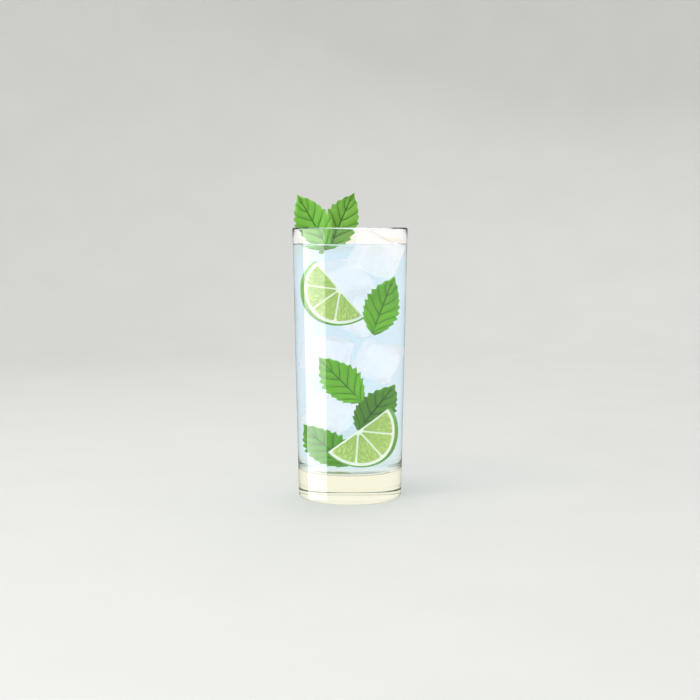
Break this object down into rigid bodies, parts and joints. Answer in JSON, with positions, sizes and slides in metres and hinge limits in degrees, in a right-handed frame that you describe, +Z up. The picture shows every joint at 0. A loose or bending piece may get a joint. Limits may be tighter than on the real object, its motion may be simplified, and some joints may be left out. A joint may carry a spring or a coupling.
{
  "type": "mojito in a highball glass",
  "caption": "Tall tapering highball glass with a thick base, filled nearly to the rim with a pale iced drink, an ice cube breaking the surface and a sprig of mint standing above the rim.",
  "frame": {"origin": "middle of the glass's foot, on the surface it stands on", "axes": "+Z up along the glass, -Y towards the viewer, +X to the viewer's right"},
  "size_m": [0.065, 0.065, 0.1726],
  "materials": {
    "glass": "clear, fire-polished soda-lime glass",
    "drink": "clear, very pale blue, still surface",
    "ice": "wet clear ice with thawed, rounded edges",
    "mint": "matt crinkled leaf, toothed edge",
    "lime": "wet lime flesh, white pith and waxy green rind"
  },
  "bodies": {
    "root": {"glass": "glass", "drink": "drink", "ice_cube_top": "ice", "mint_sprig": "mint"}
  },
  "joints": []
}
